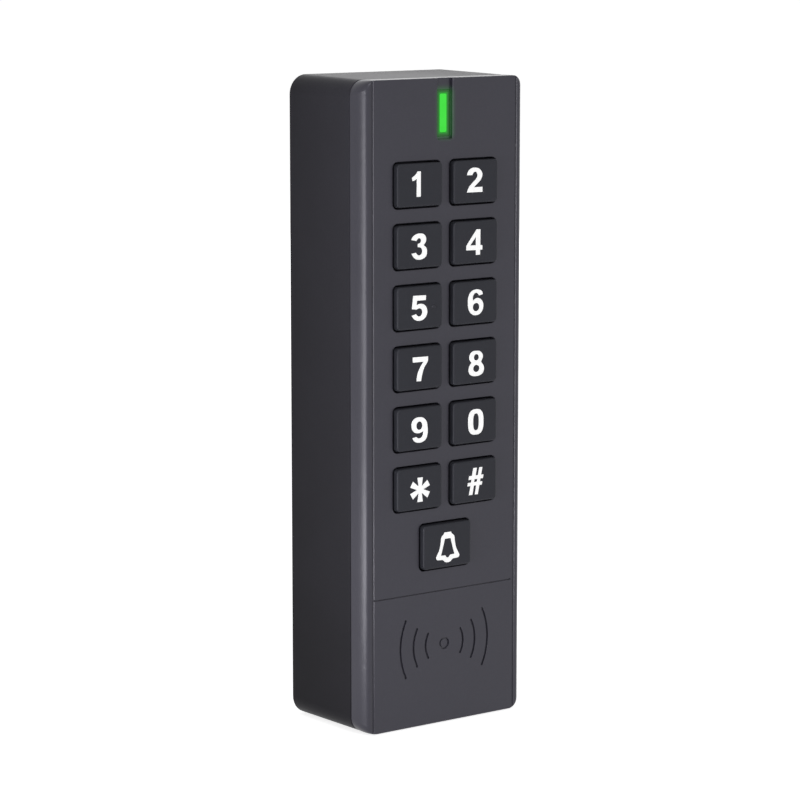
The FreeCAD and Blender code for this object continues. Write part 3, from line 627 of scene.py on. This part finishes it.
# the cover and the window get the painted green light round the bar
for material in (coverPlastic, smokedWindow):
    addBarGlow(material)
finishes = {
    "front_cover": coverPlastic,
    "rear_housing": mouldedPlastic("housingPlastic", housingLook),
    "housing_seal": sealRubber,
    "wall_plate": metalMaterial("plateZinc", plateLook),
    "security_screw": screwSteel,
    "cover_screws": screwSteel,
    "board_screws": screwSteel,
    "cable_grommet": sealRubber,
    "indicator_window": smokedWindow,
    "light_pipe": litBarMaterial(litBarLook),
    "indicator_leds": lampResin,
    "keypad_mat": rubberMaterial("matSilicone", siliconeLook),
    "contact_pills": rubberMaterial("carbonPill", carbonLook),
    "contact_pads": metalMaterial("goldPlating", goldLook),
    "key_backlights": lampResin,
    "main_board": boardMaterial(boardLook),
    "microcontroller": chipPlastic,
    "reader_chip": chipPlastic,
    "crystal": canMetal,
    "voltage_regulator": chipPlastic,
    "power_inductor": ferriteBlock,
    "electrolytic_capacitor": canMetal,
    "buzzer": chipPlastic,
    "tamper_sensor": chipPlastic,
    "wire_header": mouldedPlastic("headerNylon", nylonLook),
    "ferrite_sheet": ferriteBlock,
    "antenna_former": mouldedPlastic("formerPlastic", formerLook),
    "antenna_coil": copperWinding(windingLook),
}
for name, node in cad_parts.items():
    node.data.materials.clear()
    node.data.materials.append(finishes.get(name, keyPlastic))
print("finishes given to", len(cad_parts), "nodes")


def roundLoop(centreX, centreZ, halfWidth, halfHeight, squareness=2.0, count=16):
    # a closed loop on a superellipse; squareness 2 is an ellipse
    points = []
    for step in range(count):
        angle = 2 * math.pi * step / count
        cosine, sine = math.cos(angle), math.sin(angle)
        points.append((centreX + halfWidth * math.copysign(abs(cosine) ** (2 / squareness), cosine),
                       centreZ + halfHeight * math.copysign(abs(sine) ** (2 / squareness), sine), "s"))
    return points


def starLoop(centreZ, reach, notch, endHalf, arms=6):
    # a star of square-ended arms
    points = []
    for arm in range(arms):
        angle = math.pi / 2 + 2 * math.pi * arm / arms
        along = Vector((math.cos(angle), math.sin(angle)))
        across = Vector((-along.y, along.x))
        between = angle + math.pi / arms
        for spot in (along * reach - across * endHalf, along * reach + across * endHalf,
                     Vector((math.cos(between), math.sin(between))) * notch):
            points.append((spot.x, centreZ + spot.y, "c"))
    return points


# Key legends: closed outlines in mm from the key's middle, x to the right and z up.
# "s" points are smooth and "c" points are corners; the second and later loops are holes.
legendShapes = {
    "1": [
        [(-0.8, 3.1, "c"), (0.18, 3.1, "c"), (0.18, -2.62, "c"), (-1.12, -2.62, "c"),
         (-1.08, 1.28, "c"), (-1.6, 1.0, "s"), (-2.25, 0.88, "c"), (-2.4, 1.75, "c"),
         (-1.45, 2.35, "s")],
    ],
    "2": [
        [(-2.72, 1.42, "c"), (-2.45, 2.3, "s"), (-1.7, 2.95, "s"), (-0.45, 3.2, "s"), (1.1, 2.7, "s"),
         (1.75, 1.55, "s"), (1.3, 0.35, "s"), (0.4, -0.45, "s"), (-0.45, -1.15, "c"),
         (1.8, -1.15, "c"), (1.8, -2.46, "c"), (-2.78, -2.4, "c"), (-2.2, -1.2, "s"),
         (-1.15, -0.15, "s"), (-0.05, 0.8, "s"), (0.22, 1.55, "s"), (-0.4, 2.12, "s"),
         (-1.15, 1.4, "c")],
    ],
    "3": [
        [(-2.6, 1.5, "c"), (-2.2, 2.25, "s"), (-1.2, 2.83, "s"), (0.0, 2.97, "s"), (1.15, 2.62, "s"),
         (1.66, 1.75, "s"), (1.5, 0.85, "s"), (0.98, 0.28, "c"), (1.6, -0.2, "s"), (1.9, -1.15, "s"),
         (1.6, -2.25, "s"), (0.7, -2.8, "s"), (-0.25, -2.97, "s"), (-1.6, -2.6, "s"),
         (-2.6, -1.38, "c"), (-1.15, -1.2, "c"), (-0.85, -1.62, "s"), (-0.3, -1.84, "s"),
         (0.24, -1.55, "s"), (0.42, -1.0, "s"), (0.15, -0.4, "s"), (-0.8, -0.16, "c"),
         (-0.8, 0.7, "c"), (-0.1, 0.92, "s"), (0.1, 1.4, "s"), (-0.35, 1.78, "s"), (-1.08, 1.22, "c")],
    ],
    "4": [
        [(0.05, 2.92, "c"), (1.27, 2.92, "c"), (1.25, -0.62, "c"), (1.84, -0.7, "c"),
         (1.84, -1.84, "c"), (1.2, -1.84, "c"), (1.2, -2.93, "c"), (-0.16, -2.93, "c"),
         (-0.16, -1.84, "c"), (-2.88, -1.76, "c"), (-2.83, -0.62, "c")],
        [(-0.18, 0.94, "c"), (-1.5, -0.55, "c"), (-0.18, -0.6, "c")],
    ],
    "5": [
        [(-2.03, 2.83, "c"), (1.66, 2.74, "c"), (1.6, 1.5, "c"), (-0.82, 1.5, "c"), (-0.97, 0.72, "c"),
         (-0.2, 0.94, "s"), (1.2, 0.6, "s"), (1.96, -0.55, "s"), (1.84, -1.75, "s"),
         (1.04, -2.63, "s"), (-0.25, -2.97, "s"), (-1.6, -2.63, "s"), (-2.53, -1.6, "c"),
         (-1.15, -1.25, "c"), (-0.8, -1.64, "s"), (-0.25, -1.84, "s"), (0.36, -1.4, "s"),
         (0.4, -0.65, "s"), (-0.2, -0.22, "s"), (-1.04, -0.44, "c"), (-2.42, -0.25, "c")],
    ],
    "6": [
        [(2.07, 1.66, "c"), (1.73, 2.49, "s"), (0.9, 2.9, "s"), (-0.1, 3.0, "s"), (-1.5, 2.5, "s"),
         (-2.2, 1.34, "s"), (-2.35, -0.05, "s"), (-2.07, -1.6, "s"), (-1.2, -2.62, "s"),
         (0.05, -2.95, "s"), (1.4, -2.5, "s"), (2.17, -1.1, "s"), (1.9, 0.2, "s"), (1.15, 0.88, "s"),
         (0.15, 1.05, "s"), (-0.82, 0.6, "c"), (-0.72, 1.5, "s"), (-0.15, 2.05, "s"), (0.5, 1.88, "s"),
         (0.8, 1.42, "c")],
        roundLoop(0.05, -1.04, 0.84, 0.84),
    ],
    "7": [
        [(-2.19, 2.67, "c"), (2.26, 2.58, "c"), (2.15, 1.45, "s"), (1.2, 0.1, "s"), (0.6, -1.5, "s"),
         (0.3, -2.95, "c"), (-1.1, -2.9, "c"), (-0.9, -1.5, "s"), (-0.2, 0.1, "s"), (0.74, 1.34, "c"),
         (-2.12, 1.36, "c")],
    ],
    "8": [
        [(0.15, 2.68, "s"), (1.5, 2.34, "s"), (2.12, 1.34, "s"), (1.62, 0.05, "c"), (2.42, -1.2, "s"),
         (2.12, -2.5, "s"), (1.15, -3.08, "s"), (0.1, -3.2, "s"), (-1.1, -3.02, "s"),
         (-1.95, -2.3, "s"), (-1.98, -0.95, "s"), (-1.3, 0.0, "c"), (-1.84, 0.75, "s"),
         (-1.75, 1.85, "s"), (-1.04, 2.53, "s")],
        roundLoop(0.18, 1.13, 0.62, 0.62),
        roundLoop(0.18, -1.38, 0.78, 0.72),
    ],
    "9": [
        [(-0.23, 2.68, "s"), (0.95, 2.42, "s"), (1.8, 1.57, "s"), (2.12, 0.3, "s"), (2.12, -1.3, "s"),
         (1.6, -2.55, "s"), (0.62, -3.08, "s"), (-0.35, -3.2, "s"), (-1.6, -2.8, "s"),
         (-2.3, -1.88, "c"), (-1.04, -1.66, "c"), (-0.58, -2.0, "s"), (0.0, -2.02, "s"),
         (0.58, -1.58, "s"), (0.76, -0.74, "c"), (0.0, -1.0, "s"), (-1.15, -0.97, "s"),
         (-2.07, -0.4, "s"), (-2.47, 0.65, "s"), (-2.3, 1.75, "s"), (-1.38, 2.52, "s")],
        roundLoop(-0.23, 0.7, 0.74, 0.85),
    ],
    "hash": [
        [(-0.69, 3.16, "c"), (0.62, 3.16, "c"), (0.28, 1.43, "c"), (0.66, 1.43, "c"),
         (1.04, 3.16, "c"), (2.19, 3.16, "c"), (1.85, 1.43, "c"), (2.52, 1.43, "c"), (2.3, 0.3, "c"),
         (1.6, 0.3, "c"), (1.52, -0.1, "c"), (2.2, -0.1, "c"), (1.98, -1.14, "c"), (1.3, -1.14, "c"),
         (0.85, -3.2, "c"), (-0.28, -3.2, "c"), (0.12, -1.14, "c"), (-0.28, -1.14, "c"),
         (-0.69, -3.2, "c"), (-1.96, -3.2, "c"), (-1.52, -1.14, "c"), (-2.4, -1.14, "c"),
         (-2.18, -0.1, "c"), (-1.3, -0.1, "c"), (-1.22, 0.3, "c"), (-2.06, 0.3, "c"),
         (-1.84, 1.43, "c"), (-1.04, 1.43, "c")],
        [(-0.1, 0.3, "c"), (-0.18, -0.06, "c"), (0.34, -0.06, "c"), (0.42, 0.3, "c")],
    ],
    "bell": [
        [(-1.04, 3.15, "c"), (1.06, 3.15, "c"), (1.2, 2.72, "c"), (1.9, 2.1, "s"), (2.15, 0.8, "s"),
         (2.5, -0.7, "s"), (3.1, -1.84, "s"), (3.44, -2.6, "s"), (3.15, -3.12, "s"), (2.3, -3.28, "s"),
         (1.45, -3.36, "s"), (0.8, -3.86, "s"), (0.0, -4.02, "s"), (-0.8, -3.86, "s"),
         (-1.45, -3.36, "s"), (-2.3, -3.28, "s"), (-3.1, -3.12, "s"), (-3.38, -2.6, "s"),
         (-3.05, -1.84, "s"), (-2.45, -0.7, "s"), (-2.1, 0.8, "s"), (-1.85, 2.1, "s"),
         (-1.2, 2.72, "c")],
        [(-0.72, 1.42, "c"), (-1.08, 0.1, "s"), (-1.72, -2.05, "c"), (-0.62, -2.1, "c"),
         (0.0, -2.66, "s"), (0.62, -2.1, "c"), (1.75, -2.05, "c"), (1.08, 0.1, "s"),
         (0.72, 1.42, "c")],
    ],
    "0": [
        roundLoop(0.1, 0.0, 2.27, 2.98, 2.7),
        roundLoop(0.15, 0.0, 0.72, 1.82, 2.7),
    ],
    "star": [
        starLoop(-0.22, 2.82, 1.12, 0.84),
    ],
}
legendLook = {
    "thickness": 0.05 * mm,
    "rim": 0.02 * mm,
    "rimSteps": 1,
    "curveSteps": 6,
    "thinner": {"hash": 0.14 * mm, "bell": 0.14 * mm},
    "thinnerElse": 0.09 * mm,
}
legendWhite = inkMaterial(inkLook)
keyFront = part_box("key_cap_1")[0].y  # the 5 has a nib that stands further out


def makeLegend(label, loops, look):
    # a flat filled curve, standing a hair proud of its key
    low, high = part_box("key_cap_" + label)
    curve = bpy.data.curves.new("legend_" + label, "CURVE")
    curve.dimensions = "2D"
    curve.fill_mode = "BOTH"
    curve.extrude = look["thickness"] / 2
    curve.bevel_depth = look["rim"]
    curve.bevel_resolution = look["rimSteps"]
    curve.offset = -look["rim"] - look["thinner"].get(label, look["thinnerElse"])
    curve.resolution_u = look["curveSteps"]
    for loop in loops:
        spline = curve.splines.new("BEZIER")
        spline.bezier_points.add(len(loop) - 1)
        spline.use_cyclic_u = True
        for spot, (x, z, kind) in zip(spline.bezier_points, loop):
            spot.co = (x * mm, z * mm, 0)
            spot.handle_left_type = spot.handle_right_type = "AUTO" if kind == "s" else "VECTOR"
    piece = bpy.data.objects.new("legend_" + label, curve)
    bpy.context.collection.objects.link(piece)
    piece.rotation_euler = (math.radians(90), 0, 0)
    front = keyFront - look["thickness"] / 2 + look["rim"] / 2
    piece.location = ((low.x + high.x) / 2, front, (low.z + high.z) / 2)
    curve.materials.append(legendWhite)
    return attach(piece, "key_" + label)


for label, loops in legendShapes.items():
    makeLegend(label, loops, legendLook)
print("legends made:", len(legendShapes))


studio = {
    "floorSize": 40.0,
    "floorColour": shade(236, 236, 236),
    "floorRough": 0.9,
    "floorLift": 0.76,
    "worldFill": 0.3,
}


def seenShare(tree):
    # 1 for what the eye sees straight, through glass or in a shine, and 0 for bounced light
    path = tree.nodes.new("ShaderNodeLightPath").outputs
    seen = maths(tree, "ADD", path["Is Camera Ray"], path["Is Transmission Ray"], clamp=True)
    return maths(tree, "ADD", seen, path["Is Glossy Ray"], clamp=True)


def makeFloor():
    # a pale floor just under the body; it is lifted to white for the eye and keeps the shadow
    half = studio["floorSize"] / 2
    level = cadBox[0].z
    mesh = bpy.data.meshes.new("floor")
    corners = [(-half, -half, level), (half, -half, level), (half, half, level), (-half, half, level)]
    mesh.from_pydata(corners, [], [(0, 1, 2, 3)])
    floor = bpy.data.objects.new("floor", mesh)
    bpy.context.collection.objects.link(floor)
    material, tree, shader = newMaterial("paleFloor", Base_Color=studio["floorColour"],
                                         Roughness=studio["floorRough"], Specular_IOR_Level=0.0,
                                         Emission_Color=white)
    lift = maths(tree, "MULTIPLY", seenShare(tree), studio["floorLift"])
    feed(tree, lift, shader.inputs["Emission Strength"])
    mesh.materials.append(material)


def makeWorld():
    # even studio air: white to the eye and in what shines, and plainer as a light
    world = bpy.data.worlds.new("studioAir")
    bpy.context.scene.world = world
    world.use_nodes = True
    tree = world.node_tree
    air = tree.nodes["Background"]
    air.inputs["Color"].default_value = white
    feed(tree, ranged(tree, seenShare(tree), 0.0, 1.0, studio["worldFill"], 1.0), air.inputs["Strength"])


lamps = {
    "frontSoft": {"place": (-0.3, -1.6, 1.2), "size": (1.0, 1.0), "power": 10.4},
    "leftStrip": {"place": (-0.37, -0.13, 0.0), "size": (0.20, 0.13), "power": 0.46},
    "leftLow": {"place": (-0.14, -0.055, -0.06), "size": (0.06, 0.02), "power": 0.05},
    "rearSoft": {"place": (0.5, 0.9, 0.2), "size": (1.2, 0.5), "power": 1.3},
}


def makeLamps():
    # soft rectangles, all turned to the middle of the body
    aim = (cadBox[0] + cadBox[1]) / 2
    for name, values in lamps.items():
        light = bpy.data.lights.new(name, "AREA")
        light.shape = "RECTANGLE"
        light.size, light.size_y = values["size"]
        light.energy = values["power"]
        lamp = bpy.data.objects.new(name, light)
        lamp.location = values["place"]
        lamp.rotation_euler = (aim - lamp.location).to_track_quat("-Z", "Y").to_euler()
        bpy.context.collection.objects.link(lamp)


eye = {
    "aimX": -12.45 * mm,
    "aimZ": 2.24 * mm,
    "azimuth": -36.92,
    "elevation": 8.90,
    "distance": 666.7 * mm,
    "sensor": 36,
    "lens": 136.28,
}


def makeCamera():
    # aimed at a point on the front face, from the left and a little above
    camera = bpy.data.cameras.new("eye")
    camera.sensor_width = eye["sensor"]
    camera.lens = eye["lens"]
    seat = bpy.data.objects.new("eye", camera)
    turn, rise = math.radians(eye["azimuth"]), math.radians(eye["elevation"])
    back = Vector((math.sin(turn) * math.cos(rise), -math.cos(turn) * math.cos(rise), math.sin(rise)))
    aim = Vector((eye["aimX"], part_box("front_cover")[0].y, eye["aimZ"]))
    seat.location = aim + back * eye["distance"]
    seat.rotation_euler = (-back).to_track_quat("-Z", "Y").to_euler()
    bpy.context.collection.objects.link(seat)
    bpy.context.scene.camera = seat


makeFloor()
makeWorld()
makeLamps()
makeCamera()
bpy.context.scene.view_settings.view_transform = "Standard"
print("studio made")
